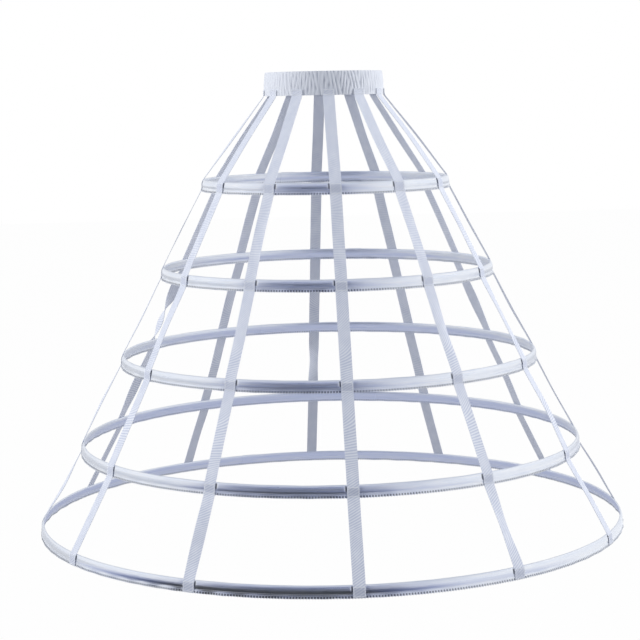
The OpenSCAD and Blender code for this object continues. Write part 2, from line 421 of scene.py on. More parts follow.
def hoop_casing(hoop):
    """The satin ribbon round a hoop: its section's middle line at every turn, as thick as the ribbon."""
    turn = casing_turns(hoop)
    u, v = casing_grid(hoop, turn)
    du, dv = np.gradient(u, axis=1), np.gradient(v, axis=1)
    size = np.hypot(du, dv)
    normal_u, normal_v = dv / size, -du / size
    middle = round_axis(turn[:, None], *on_band(hoop, u, v))
    out = normal_u * math.cos(LEAN) - normal_v * math.sin(LEAN)
    up = normal_u * math.sin(LEAN) + normal_v * math.cos(LEAN)
    normal = round_axis(turn[:, None], out, up)
    over = RIBBON_T / 2 + RIBBON_T * lap_share(hoop, turn)[:, None, None]
    # Length of ribbon to a radian, so that a whole number of overcasts goes round
    overcasts = round(2 * math.pi * HOOP_R[hoop] / OVERCAST_PITCH)
    length = overcasts * OVERCAST_PITCH / (2 * math.pi)
    along = length * np.append(turn - turn[0], 2 * math.pi)
    across = length_along(u[0], v[0])
    across *= RIBBON_W / across[-1]
    start = length * (turn[0] - FRONT)
    # Painted shade: the satin's colour goes dark in the hollow beside each tape, on the outer channel
    on_channel = smooth((HOLLOW_REACH - np.abs(v - CHANNEL_V)) / HOLLOW_FADE) * (u > 0)
    shade = on_channel * hollow(turn, HOOP_R[hoop])[:, None]
    return cloth_piece(
        f"hoop_{hoop + 1}_satin_casing", middle, normal, over, RIBBON_T / 2, along, across,
        ring=True, bake_rows=TAPES, start=start, shade=shade,
    )


def seam_stitches(hoop):
    """Two rows of straight stitches along the flange, outside and inside, left out under the tapes."""
    radius = HOOP_R[hoop]
    count = round(2 * math.pi * radius / STITCH_PITCH)
    turn = FRONT + 2 * math.pi * np.arange(count) / count
    rows = []
    for v in (SEAM_V, SECOND_SEAM_V):
        for side in (1, -1):
            shown = turn if side < 0 else turn[from_tape(turn, radius) > TAPE_W / 2 + STITCH_L / 2]
            face = PLY_U + RIBBON_T / 2 + RIBBON_T * lap_share(hoop, shown)
            u = side * face + flange_shift(hoop, shown, v)
            centre = round_axis(shown, *on_band(hoop, u, v))
            out = round_axis(shown, side * math.cos(LEAN), side * math.sin(LEAN))
            rows.append((centre, round_axis(shown + math.pi / 2, 1.0, 0.0), out))
    return stitch_piece(f"hoop_{hoop + 1}_seam_stitches", rows)


def edge_overcasting(hoop):
    """Thread wound round the flange's lower edge: a helix of flattened turns about the edge."""
    radius = HOOP_R[hoop]
    count = round(2 * math.pi * radius / OVERCAST_PITCH)
    phase = 2 * math.pi * np.arange(count * OVERCAST_STEPS) / OVERCAST_STEPS
    turn = FRONT + phase / count
    half_w = PLY_U + RIBBON_T / 2 + OVERCAST_OFF
    reach = OVERCAST_RISE / 2
    v = EDGE_V + reach - OVERCAST_DIP + reach * np.sin(phase)
    u = half_w * np.sign(np.cos(phase)) * np.abs(np.cos(phase)) ** OVERCAST_POWER
    u = u * (1 + lap_share(hoop, turn) * RIBBON_T / half_w) + flange_shift(hoop, turn, v)
    path = round_axis(turn, *on_band(hoop, u, v))
    axis = round_axis(turn + math.pi / 2, 1.0, 0.0)
    return thread_ring(f"hoop_{hoop + 1}_edge_overcasting", path, axis, OVERCAST_R)


# Tapes

ARC_POINTS = 9
TAPE_BAKE_ROWS = 4
TAPE_ROWS = TAPE_BAKE_ROWS * 84 + 1
# Shares of half a tape's width at its columns, and its thicker edge
TAPE_COLUMNS = np.array([-1, -0.93, -0.8, -0.55, -0.28, 0, 0.28, 0.55, 0.8, 0.93, 1])
SELVEDGE_FROM = 0.9
SELVEDGE_THICK = 1.12
# Spread of the tapes' own twist in degrees, of their slack and of their cupping
TAPE_SEED = 300
TWIST_SPREAD = 3.5
SLACK_SPREAD = 1.2 * MM
CUP_SPREAD = 0.5 * MM
# Length over which a tape goes flat inside a sewn box
BOX_EDGE = 3 * MM


def touch_angle(hoop, r, z, side):
    """Angle on the arc that carries the tape round a channel, where a straight tape from (r, z) meets it."""
    centre_r, centre_z = on_band(hoop, CHANNEL_T / 2 - CHANNEL_ARC, CHANNEL_V)
    a, b = r - centre_r, z - centre_z
    u, v = a * math.cos(LEAN) + b * math.sin(LEAN), b * math.cos(LEAN) - a * math.sin(LEAN)
    return math.atan2(v, u) + side * math.acos(TAPE_ARC / math.hypot(u, v))


def crest_radius(level):
    """Largest radius of the gathers at a level from 0, the lower edge, to 1."""
    depth = SEWN_DEPTH + (1 - SEWN_DEPTH) * np.sin(math.pi * level)
    return WAIST_VALLEY_R + WAIST_FLARE * (1 - level) + GATHER_DEPTH * depth


LAP_R = crest_radius(TAPE_LAP / WAIST_H) + TAPE_CLEARANCE + TAPE_T / 2


def tape_line():
    """The tape's middle line: down the waistband, then round each channel's outer side and onto its flange.

    Returns the length along it, radius, height, and the two lengths between which each hoop holds it.
    """
    r, z = [LAP_R, LAP_R], [WAIST_Z + TAPE_LAP, WAIST_Z]
    held = []
    flat_v = np.array([SECOND_SEAM_V, TAPE_SEW_MARGIN - BAND_H / 2])
    for hoop in range(HOOPS):
        flat_r, flat_z = on_band(hoop, RIBBON_T + TAPE_CLEARANCE + TAPE_T / 2, flat_v)
        first = touch_angle(hoop, r[-1], z[-1], -1)
        last = touch_angle(hoop, flat_r[0], flat_z[0], 1)
        angle = np.linspace(first, last, ARC_POINTS)
        arc_u = CHANNEL_T / 2 - CHANNEL_ARC + TAPE_ARC * np.cos(angle)
        arc_r, arc_z = on_band(hoop, arc_u, CHANNEL_V + TAPE_ARC * np.sin(angle))
        held.append((len(r), len(r) + len(angle) + 1))
        r += [*arc_r, *flat_r]
        z += [*arc_z, *flat_z]
    along = length_along(r, z)
    return along, np.array(r), np.array(z), along[np.array(held)]


def eased(values, reach):
    """Values along a line with their corners eased: a bell-shaped mean over a few neighbours."""
    edge = 3 * reach
    weight = np.exp(-0.5 * (np.arange(-edge, edge + 1) / reach) ** 2)
    before = 2 * values[0] - values[edge:0:-1]
    after = 2 * values[-1] - values[-2:-edge - 2:-1]
    return np.convolve(np.concatenate([before, values, after]), weight / weight.sum(), "valid")


line_along, line_r, line_z, HELD = tape_line()
TAPE_ALONG = np.linspace(0, line_along[-1], TAPE_ROWS)
TAPE_R = eased(np.interp(TAPE_ALONG, line_along, line_r), 1)
TAPE_Z = eased(np.interp(TAPE_ALONG, line_along, line_z), 1)
tape_step = unit(np.stack([np.gradient(TAPE_R), np.gradient(TAPE_Z)], -1))
TAPE_OUT, TAPE_UP = -tape_step[:, 1], tape_step[:, 0]

# Twist, in degrees, of tapes that hang turned between two hoops: tape and span, both from 0
TURNED = {(6, 3): 40.0, (8, 3): 24.0, (4, 2): -20.0, (1, 4): -18.0, (11, 4): -14.0}
# The same for tapes that turn one way high in the span and the other way low in it
TURNED_BACK = {(8, 2): 52.0}


def over_spans(amounts, back=False):
    """A value along a tape that is 0 where hoops hold it and swells to each span's amount between them.

    It follows a sine squared over the span or, where it turns back, one whole sine wave.
    """
    starts = np.concatenate([[TAPE_LAP], HELD[:-1, 1]])
    share = np.clip((TAPE_ALONG[:, None] - starts) / (HELD[:, 0] - starts), 0, 1)
    swell = np.sin(2 * math.pi * share) if back else np.sin(math.pi * share) ** 2
    return (amounts * swell).sum(-1)


def sewn_down():
    """1 along a tape in its sewn boxes on the hoops, where it is pressed flat, and 0 between them."""
    tops, feet = HELD.T
    inside = np.minimum(TAPE_ALONG[:, None] - tops, feet - TAPE_ALONG[:, None])
    return smooth(inside / BOX_EDGE).max(-1)


def woven_tape(k):
    """One tape: a flat strip along its line, a little slack, cupped and twisted between the hoops."""
    draw = np.random.default_rng(TAPE_SEED + k)
    twists = draw.normal(0, TWIST_SPREAD, HOOPS)
    for (tape, span), degrees in TURNED.items():
        if tape == k:
            twists[span] = degrees
    backs = np.array([TURNED_BACK.get((k, span), 0.0) for span in range(HOOPS)])
    twist = np.radians(over_spans(twists) + over_spans(backs, back=True))[:, None, None]
    slack = over_spans(draw.normal(0, SLACK_SPREAD, HOOPS))[:, None]
    cup = over_spans(draw.normal(0, CUP_SPREAD, HOOPS))[:, None]
    half = TAPE_W / 2
    width = half * TAPE_COLUMNS
    turn = FRONT + k * TAPE_TURN
    outward = round_axis(turn, TAPE_OUT, TAPE_UP)[:, None]
    sideways = round_axis(turn + math.pi / 2, 1.0, 0.0)
    across = np.cos(twist) * sideways + np.sin(twist) * outward
    normal = np.cos(twist) * outward - np.sin(twist) * sideways
    lift = slack + cup * (width / half) ** 2
    line = round_axis(turn, TAPE_R, TAPE_Z)[:, None]
    middle = line + width[:, None] * across + lift[..., None] * normal
    selvedge = np.where(np.abs(width) > SELVEDGE_FROM * half, SELVEDGE_THICK, 1.0)[:, None]
    thick = TAPE_T / 2 * selvedge
    normal = np.broadcast_to(normal, middle.shape)
    # The sewn boxes, which the tape's material paints in shade
    pressed = np.broadcast_to(sewn_down()[:, None], middle.shape[:2])
    return cloth_piece(
        f"tape_{k + 1:02d}_woven", middle, normal, thick, thick, TAPE_ALONG, width + half,
        ring=False, bake_rows=TAPE_BAKE_ROWS, shade=pressed,
    )


def on_tape(k, along, width):
    """Points on a tape's outer face where it is sewn down, and its ways down, sideways and out."""
    turn = FRONT + k * TAPE_TURN
    r, z, out, up = (np.interp(along, TAPE_ALONG, a) for a in (TAPE_R, TAPE_Z, TAPE_OUT, TAPE_UP))
    outward = round_axis(turn, out, up)
    sideways = round_axis(turn + math.pi / 2, 1.0, 0.0)
    down = round_axis(turn, up, -out)
    point = round_axis(turn, r, z) + width[:, None] * sideways + TAPE_T / 2 * outward
    return point, down, np.broadcast_to(sideways, point.shape), outward


def tape_stitches(k):
    """A sewn box on the tape at the waistband and at each hoop, with close zigzag along its four sides.

    Every stitch lies across its side of the box, slanted one way and the other in turn.
    """
    half = TAPE_W / 2 - BOX_INSET
    held = [(0.0, TAPE_LAP), *HELD]
    boxes = [(top + BOX_INSET, foot - BOX_INSET) for top, foot in held]
    rows = []
    for top, foot in boxes:
        corners = [(top, -half), (top, half), (foot, half), (foot, -half), (top, -half)]
        for (level, width), (next_level, next_width) in zip(corners, corners[1:]):
            count = round((abs(next_level - level) + abs(next_width - width)) / ZIGZAG_PITCH)
            share = (np.arange(count) + 0.5) / count
            widths = width + (next_width - width) * share
            point, down, sideways, outward = on_tape(k, level + (next_level - level) * share, widths)
            across, forward = (down, sideways) if level == next_level else (sideways, down)
            slant = np.where(np.arange(count) % 2, 1, -1)[:, None] * ZIGZAG_PITCH
            rows.append((point, unit(ZIGZAG_W * across + slant * forward), outward))
    return stitch_piece(f"tape_{k + 1:02d}_stitches", rows, ZIGZAG_W)


# Waistband

WAIST_COLUMNS = 1440
WAIST_BAKE_ROWS = 2
OUTER_LEVELS = np.array(
    [0.012, 0.05, 0.12, 0.2, 0.27, 0.33, 0.42, 0.52, 0.62, 0.72, 0.82, 0.9, 0.955, 0.988]
)
INNER_LEVELS = np.array([0.985, 0.75, 0.5, 0.25, 0.016])
SEWN_LEVELS = (0.07, 0.93)
# Wavering of the folds, as amount and waves, and the lean of the two sets, as amount, change and waves
QUICK_WAVER, SLOW_WAVER = (0.9, 26), (0.8, 9)
WAVER_SLANT = 0.12
FIRST_LEAN, SECOND_LEAN = (5.5, 3.0, 6), (-5.0, -3.0, 7)
FIRST_SEED, SECOND_SEED, SHARE_SEED, CRINKLE_SEED = 12, 14, 15, 16
# How the two sets trade places round the band, and how full they are before, behind and at the sides
SHARE_MEAN, SHARE_SWING, SHARE_WAVES, SHARE_SLANT = 0.75, 0.25, 17, 0.2
FULL_MEAN, FULL_SWING, FULL_TURN = 0.7, 0.3, 0.1
CREASE_POWER = 0.8
# Power on the depth of the creases that sets their painted shade
SHADE_POWER = 1.9
CRINKLES = 230
DRIFT, DRIFT_WAVES = 0.03, 9
# Pressing of the cloth under a tape's end
PRESS_FADE = 3 * MM
PRESS_FADE_UP = 4 * MM
PRESS_GAP = 0.1 * MM
LEFT_FREE = 0.3


def folds(turn, level, count, lean, seed):
    """Folds with round crests and sharp creases, 0 to 1: |sin| of half a phase that leans and wavers."""
    amount, change, waves = lean
    leaning = amount + change * uneven(turn, waves, seed - 1)
    quick = QUICK_WAVER[0] * uneven(turn + WAVER_SLANT * level, QUICK_WAVER[1], seed)
    slow = SLOW_WAVER[0] * uneven(turn, SLOW_WAVER[1], seed + 1)
    phase = count * (turn - FRONT) + leaning * (level - 0.5) + (quick + slow)
    return np.abs(np.sin(phase / 2)) ** CREASE_POWER


def gathers(turn, level):
    """Height of the gathers, 0 to 1.

    Of two sets of folds that lean apart, the higher shows, so that creases fork. They are full before and
    behind, and shallower at the two sides.
    """
    first = folds(turn, level, GATHERS, FIRST_LEAN, FIRST_SEED)
    second = folds(turn, level, GATHERS + FORKS, SECOND_LEAN, SECOND_SEED)
    share = SHARE_MEAN + SHARE_SWING * uneven(turn + SHARE_SLANT * level, SHARE_WAVES, SHARE_SEED)
    higher = np.maximum(share * first, (2 * SHARE_MEAN - share) * second)
    fullness = FULL_MEAN + FULL_SWING * np.cos(2 * (turn - FRONT - FULL_TURN))
    return 1 - fullness * (1 - np.clip(higher, 0.0, 1.0))


def gathered_radius(turn, level):
    """Radius of the waistband's outer cloth: the gathers, sewn shallow at both edges, and finer crinkles.

    Under each tape's end they are pressed to one radius.
    """
    depth = GATHER_DEPTH * (SEWN_DEPTH + (1 - SEWN_DEPTH) * np.sin(math.pi * level))
    drift = DRIFT * level * np.sin(DRIFT_WAVES * turn)
    crinkle = CRINKLE * uneven(turn + drift, CRINKLES, CRINKLE_SEED) * np.sin(math.pi * level)
    free = WAIST_VALLEY_R + WAIST_FLARE * (1 - level) + depth * gathers(turn, level) + crinkle
    beside = smooth((TAPE_W / 2 + PRESS_FADE - from_tape(turn, LAP_R)) / PRESS_FADE)
    under = smooth((TAPE_LAP + PRESS_FADE - level * WAIST_H) / PRESS_FADE_UP)
    pressed = LAP_R - TAPE_T / 2 - PRESS_GAP - WAIST_CLOTH_T / 2
    held = np.minimum(free, pressed) * LEFT_FREE + pressed * (1 - LEFT_FREE)
    return free + (held - free) * beside * under


def gathered_waistband():
    """The waistband's cloth: up the gathered outer face, over the top and down the plain bore."""
    half = WAIST_CLOTH_T / 2
    turn = FRONT - TAPE_TURN / 2 + 2 * math.pi * np.arange(WAIST_COLUMNS)[:, None] / WAIST_COLUMNS
    outer_r = gathered_radius(turn, OUTER_LEVELS) - half
    outer_z = np.broadcast_to(WAIST_Z + WAIST_H * OUTER_LEVELS, outer_r.shape)
    inner_z = np.broadcast_to(WAIST_Z + WAIST_H * INNER_LEVELS, (WAIST_COLUMNS, len(INNER_LEVELS)))
    inner_r = np.full_like(inner_z, WAIST_BORE_R + half)
    top_r = (outer_r[:, -1:] + inner_r[:, :1]) / 2
    top_z = np.full_like(top_r, WAIST_Z + WAIST_H - half)
    r = np.concatenate([outer_r, top_r, inner_r], 1)
    z = np.concatenate([outer_z, top_z, inner_z], 1)
    middle = round_axis(turn, r, z)
    by_turn = np.roll(middle, -1, 0) - np.roll(middle, 1, 0)
    by_level = np.gradient(middle, axis=1)
    normal = unit(np.cross(by_turn, by_level))
    across = length_along(r[0], z[0])
    along = WAIST_VALLEY_R * np.append(turn[:, 0] - turn[0, 0], 2 * math.pi)
    plain = np.zeros((WAIST_COLUMNS, middle.shape[1] - len(OUTER_LEVELS)))
    # Painted shade on the outer face, darkest in the creases of the gathers
    shade = np.concatenate([(1 - gathers(turn, OUTER_LEVELS)) ** SHADE_POWER, plain], 1)
    return cloth_piece(
        "waistband_gathered_cloth", middle, normal, half, half, along, across,
        ring=True, bake_rows=WAIST_BAKE_ROWS, shade=shade,
    )


def waistband_stitches():
    """Rows of stitches round the waistband that hold the elastic, near its top and lower edges."""
    count = round(2 * math.pi * WAIST_VALLEY_R / STITCH_PITCH)
    turn = FRONT + 2 * math.pi * np.arange(count) / count
    step = 0.002
    rows = []
    for level in SEWN_LEVELS:
        shown = turn if level > 0.5 else turn[from_tape(turn, LAP_R) > TAPE_W / 2 + STITCH_L / 2]
        centre, after = (
            round_axis(t, gathered_radius(t, level), WAIST_Z + WAIST_H * level)
            for t in (shown, shown + step)
        )
        along = unit(after - centre)
        out = unit(np.cross(along, np.array([0.0, 0.0, 1.0])))
        rows.append((centre, along, out))
    return stitch_piece("waistband_stitches", rows)


# Materials, each with a cooler and a paler colour and, where it has painted shade, the colour of that

SATIN_COLOURS = (0.74, 0.80, 0.92), (0.93, 0.945, 0.975), (0.035, 0.04, 0.06)
TAPE_COLOURS = (0.64, 0.68, 0.80), (0.92, 0.94, 0.99), (0.48, 0.52, 0.66)
WAIST_COLOURS = (0.86, 0.89, 0.96), (0.94, 0.955, 0.99), (0.16, 0.195, 0.29)
THREAD_COLOURS = (0.93, 0.95, 0.985), (0.97, 0.98, 0.995)
ELASTIC_COLOURS = (0.74, 0.72, 0.64), (0.87, 0.85, 0.79)
RIB_PITCH = 1.15 * MM
WATER_PITCH = 4.8 * MM
WEAVE_PITCH = 0.55 * MM
# Painted shade between the overcasts at a ribbon's edge: where it fades in and out, from the edge, and how
# dark it is
OVERCAST_SHADE_BAND = np.array([4.2, 3.6, 0.6, 0.3]) * MM
OVERCAST_SHADE_DARK = 0.72


def put(tree, kind, values=None, links=None, **settings):
    """A new node with these settings, socket values and links."""
    made = tree.nodes.new(kind)
    for name, value in settings.items():
        setattr(made, name, value)
    for key, value in (values or {}).items():
        made.inputs[key].default_value = value
    for key, socket in (links or {}).items():
        tree.links.new(socket, made.inputs[key])
    return made


def start_material(name, **sockets):
    """A material with one shader, whose even values are set on its own sockets."""
    material = bpy.data.materials.new(name)
    material.use_nodes = True
    shader = material.node_tree.nodes["Principled BSDF"]
    for key, value in sockets.items():
        shader.inputs[key.replace("_", " ").title()].default_value = value
    return material, material.node_tree, shader


def join(node, key, socket):
    """Links a socket to a node's input."""
    node.id_data.links.new(socket, node.inputs[key])


def parts(tree, vector):
    """A vector's outputs X, Y and Z."""
    return put(tree, "ShaderNodeSeparateXYZ", links={"Vector": vector}).outputs


def scaled(tree, places, scale):
    """Places times a scale on each axis."""
    return put(tree, "ShaderNodeMapping", {"Scale": scale}, {"Vector": places}).outputs["Vector"]


def cloth_places(tree, along=1.0, across=1.0):
    """The flat cloth's places, in metres, times a scale along and a scale across."""
    return scaled(tree, put(tree, "ShaderNodeUVMap", uv_map="cloth").outputs["UV"], (along, across, 1.0))


def solid_places(tree, level, up):
    """A piece's own places, in metres, times a scale on the level and a scale up."""
    return scaled(tree, put(tree, "ShaderNodeTexCoord").outputs["Object"], (level, level, up))


def cloud(tree, vector, detail=2.0):
    """Soft noise from 0 to 1 at these places."""
    values = {"Scale": 1.0, "Detail": detail, "Roughness": 0.55}
    return put(tree, "ShaderNodeTexNoise", values, {"Vector": vector}).outputs["Fac"]


def ranged(tree, value, low, high, to_low=0.0, to_high=1.0):
    """A value moved from one range to another, and held at its ends."""
    values = {"From Min": low, "From Max": high, "To Min": to_low, "To Max": to_high}
    return put(tree, "ShaderNodeMapRange", values, {"Value": value}).outputs["Result"]


def maths(tree, operation, first, second=None):
    """A sum, product or other operation on sockets or numbers."""
    made = put(tree, "ShaderNodeMath", operation=operation)
    for key, value in enumerate((first, second)):
        if isinstance(value, bpy.types.NodeSocket):
            join(made, key, value)
        elif value is not None:
            made.inputs[key].default_value = value
    return made.outputs["Value"]


def times(tree, first, second):
    """A product of sockets or numbers."""
    return maths(tree, "MULTIPLY", first, second)


def between(tree, share, first, second):
    """A colour between two colours."""
    colours = {6: (*first, 1.0), 7: (*second, 1.0)}
    return put(tree, "ShaderNodeMix", colours, {"Factor": share}, data_type="RGBA").outputs[2]


def shade_share(tree):
    """The shade at a piece's points."""
    return put(tree, "ShaderNodeAttribute", attribute_name="shade").outputs["Fac"]


def relief(tree, height, distance, strength, under=None):
    """A surface bumped by a height from 0 to 1 times a distance, on top of another bump."""
    links = {"Height": height} if under is None else {"Height": height, "Normal": under}
    values = {"Strength": strength, "Distance": distance}
    return put(tree, "ShaderNodeBump", values, links).outputs["Normal"]


def shaded(tree, colour, share, dark):
    """A colour that goes to a darker one by a share: painted shade."""
    made = put(tree, "ShaderNodeMix", {7: (*dark, 1.0)}, {"Factor": share, 6: colour}, data_type="RGBA")
    return made.outputs[2]


def satin_ribbon():
    """White satin: fine floats and streaks along it, soft creases, and painted shade at the overcasts and
    the hollows.
    """
    material, tree, shader = start_material("white_satin_ribbon", metallic=0.88, anisotropic=0.45)
    floats = cloud(tree, cloth_places(tree, 60.0, 2200.0))
    streaks = cloud(tree, cloth_places(tree, 7.0, 420.0), 3.0)
    creases = cloud(tree, cloth_places(tree, 22.0, 130.0), 3.0)
    place = parts(tree, cloth_places(tree))
    # Painted shade between the overcast threads, near the ribbon's edges
    edge = RIBBON_W / 2
    off_middle = maths(tree, "ABSOLUTE", maths(tree, "SUBTRACT", place["Y"], edge))
    turns = times(tree, place["X"], 2 * math.pi / OVERCAST_PITCH)
    wander = times(tree, cloud(tree, cloth_places(tree, 170.0, 170.0)), 0.8)
    ragged = maths(tree, "ADD", maths(tree, "COSINE", turns), wander)
    gap = ranged(tree, ragged, 0.3, 0.6, OVERCAST_SHADE_DARK, 0.0)
    band = edge - OVERCAST_SHADE_BAND
    low = ranged(tree, off_middle, band[0], band[1])
    high = ranged(tree, off_middle, band[2], band[3], 1.0, 0.0)
    overcast_shade = times(tree, gap, times(tree, low, high))
    tone = maths(tree, "ADD", times(tree, creases, 0.4), times(tree, streaks, 0.6))
    cool, pale, deep = SATIN_COLOURS
    plain = between(tree, ranged(tree, tone, 0.3, 0.7), cool, pale)
    dark = maths(tree, "MAXIMUM", overcast_shade, shade_share(tree))
    join(shader, "Base Color", shaded(tree, plain, dark, deep))
    join(shader, "Roughness", ranged(tree, streaks, 0.3, 0.7, 0.26, 0.40))
    soft = relief(tree, creases, 0.8 * MM, 0.4)
    drawn = relief(tree, streaks, 0.35 * MM, 0.5, soft)
    join(shader, "Normal", relief(tree, floats, 0.05 * MM, 0.5, drawn))
    tangent = put(tree, "ShaderNodeTangent", direction_type="UV_MAP", uv_map="cloth")
    join(shader, "Tangent", tangent.outputs["Tangent"])
    return material


def grosgrain():
    """White ribbed tape: ribs across it, fine threads along it, firm edges and a faint watered pattern."""
    material, tree, shader = start_material("white_ribbed_tape", sheen_weight=0.15, sheen_roughness=0.5)
    place = parts(tree, cloth_places(tree))
    along, across = place["X"], place["Y"]
    threads = cloud(tree, cloth_places(tree, 260.0, 3200.0))
    wander = times(tree, cloud(tree, cloth_places(tree, 160.0, 160.0)), 0.5 * MM)
    wave = times(tree, maths(tree, "ADD", along, wander), 2 * math.pi / RIB_PITCH)
    rib = ranged(tree, maths(tree, "SINE", wave), -1.0, 1.0)
    off_middle = maths(tree, "ABSOLUTE", maths(tree, "SUBTRACT", across, TAPE_W / 2))
    edge = ranged(tree, off_middle, TAPE_W / 2 - 1.4 * MM, TAPE_W / 2 - 0.9 * MM)
    ribs = maths(tree, "MAXIMUM", rib, edge)
    lean = ranged(tree, cloud(tree, cloth_places(tree, 5.0, 0.0)), 0.35, 0.65, -1.3, 0.2)
    skew = maths(tree, "SUBTRACT", along, times(tree, across, lean))
    watered = maths(tree, "SINE", times(tree, skew, 2 * math.pi / WATER_PITCH))
    blur = cloud(tree, cloth_places(tree, 35.0, 60.0))
    water = times(tree, watered, ranged(tree, along, 0.25, 0.6, 0.2, 0.55))
    shade = maths(tree, "ADD", water, blur)
    mixed = maths(tree, "ADD", times(tree, shade, 0.85), times(tree, ribs, 0.15))
    # Painted shade: the tape's colour is darker in its sewn boxes, where it lies flat on the satin
    cool, pale, flat = TAPE_COLOURS
    pressed = times(tree, shade_share(tree), 0.28)
    plain = between(tree, mixed, cool, pale)
    join(shader, "Base Color", shaded(tree, plain, pressed, flat))
    join(shader, "Roughness", ranged(tree, threads, 0.2, 0.8, 0.55, 0.75))
    weave = relief(tree, threads, 0.03 * MM, 0.5)
    join(shader, "Normal", relief(tree, ribs, 0.08 * MM, 0.6, weave))
    return material


def waist_cloth():
    """White gathered cotton: a fine plain weave, crinkled along the gathers, with painted shade in their
    creases.
    """
    material, tree, shader = start_material("white_waist_cloth", sheen_weight=0.2, sheen_roughness=0.5)
    place = parts(tree, cloth_places(tree))
    waves = [maths(tree, "SINE", times(tree, place[axis], 2 * math.pi / WEAVE_PITCH)) for axis in "XY"]
    weave = ranged(tree, times(tree, *waves), -1.0, 1.0)
    crinkle = cloud(tree, cloth_places(tree, 420.0, 60.0), 3.0)
    # The third colour is the painted shade of the creases
    cool, pale, deep = WAIST_COLOURS
    plain = between(tree, crinkle, cool, pale)
    join(shader, "Base Color", shaded(tree, plain, shade_share(tree), deep))
    join(shader, "Roughness", ranged(tree, crinkle, 0.3, 0.7, 0.6, 0.8))
    crumpled = relief(tree, crinkle, 0.9 * MM, 0.7)
    join(shader, "Normal", relief(tree, weave, 0.1 * MM, 0.5, crumpled))
    return material


def sewing_thread():
    """White thread: a slight fuzz in colour and gloss."""
    material, tree, shader = start_material("white_sewing_thread", sheen_weight=0.1)
    fuzz = cloud(tree, solid_places(tree, 2500.0, 2500.0))
    join(shader, "Base Color", between(tree, fuzz, *THREAD_COLOURS))
    join(shader, "Roughness", ranged(tree, fuzz, 0.3, 0.7, 0.45, 0.65))
    return material


def woven_elastic():
    """Cream elastic: close ribs up and down, with a fuzzy face."""
    material, tree, shader = start_material("cream_woven_elastic", roughness=0.8)
    ribs = cloud(tree, solid_places(tree, 1500.0, 250.0))
    join(shader, "Base Color", between(tree, ribs, *ELASTIC_COLOURS))
    join(shader, "Normal", relief(tree, ribs, 0.2 * MM, 0.6))
    return material


def coated_steel():
    """Spring steel bone in a white coat, a little uneven in gloss."""
    material, tree, shader = start_material("white_coated_steel", base_color=(0.86, 0.86, 0.86, 1.0))
    spots = cloud(tree, solid_places(tree, 400.0, 400.0), 3.0)
    join(shader, "Roughness", ranged(tree, spots, 0.3, 0.7, 0.25, 0.4))
    join(shader, "Normal", relief(tree, spots, 0.03 * MM, 0.4))
    return material


def crimped_steel():
    """Bare sheet steel of the joiners, with fine rolling marks."""
    material, tree, shader = start_material(
        "bare_crimped_steel", metallic=1.0, base_color=(0.60, 0.61, 0.63, 1.0)
    )
    lines = cloud(tree, solid_places(tree, 300.0, 4000.0), 3.0)
    join(shader, "Roughness", ranged(tree, lines, 0.3, 0.7, 0.28, 0.45))
    join(shader, "Normal", relief(tree, lines, 0.02 * MM, 0.5))
    return material


SATIN = satin_ribbon()
TAPE_CLOTH = grosgrain()
WAIST_CLOTH = waist_cloth()
THREAD = sewing_thread()


def dress(piece, material):
    """Gives a piece its material and its slot, and hangs it on the cage's one body."""
    piece.data.materials.clear()
    piece.data.materials.append(material)
    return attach(piece, "root")


# The pieces

for hoop in range(HOOPS):
    name = f"hoop_{hoop + 1}"
    sewing = [dress(make(hoop), THREAD) for make in (seam_stitches, edge_overcasting)]
    casing = dress(hoop_casing(hoop), SATIN)
    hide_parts(f"{name}_casing")

for k in range(TAPES):
    tape = dress(woven_tape(k), TAPE_CLOTH)
    sewing = dress(tape_stitches(k), THREAD)
    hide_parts(f"tape_{k + 1:02d}")

waistband = dress(gathered_waistband(), WAIST_CLOTH)
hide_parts("waistband_casing")
waist_sewing = dress(waistband_stitches(), THREAD)

hidden_finishes = {"bone": coated_steel(), "joiner": crimped_steel(), "elastic": woven_elastic()}
for name, cad_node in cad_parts.items():
    finish = hidden_finishes.get(name.rsplit("_", 1)[-1])
    if finish is not None:
        cad_node.data.materials.clear()
        cad_node.data.materials.append(finish)


# Floor, light and camera

def seen_white(tree, lit, white, seen, mirrored):
    """A shader that stays lit for the cage's sake, and is whiter by shares where it is seen or mirrored."""
    path = put(tree, "ShaderNodeLightPath")
    direct = maths(tree, "MAXIMUM", path.outputs["Is Camera Ray"], path.outputs["Is Transmission Ray"])
    in_gloss = times(tree, path.outputs["Is Glossy Ray"], mirrored)
    share = maths(tree, "MAXIMUM", times(tree, direct, seen), in_gloss)
    return put(tree, "ShaderNodeMixShader", links={"Fac": share, 1: lit, 2: white}).outputs["Shader"]


def pale_floor():
    """A wide pale floor under the hem, which keeps a faint shadow."""
    half = 9.0
    corners = half * np.array([[-1, -1, 0], [1, -1, 0], [1, 1, 0], [-1, 1, 0]])
    floor = new_piece("floor", corners, [np.array([[0, 1, 2, 3]])])
    grey = (0.42, 0.42, 0.43, 1.0)
    material, tree, shader = start_material("pale_floor", base_color=grey, roughness=0.9)
    white = put(tree, "ShaderNodeEmission", {"Strength": 1.0}).outputs["Emission"]
    mixed = seen_white(tree, shader.outputs["BSDF"], white, seen=0.985, mirrored=0.5)
    join(tree.nodes["Material Output"], "Surface", mixed)
    # Not taken for a lamp, which would speckle the tapes
    material.cycles.emission_sampling = "NONE"
    floor.data.materials.append(material)


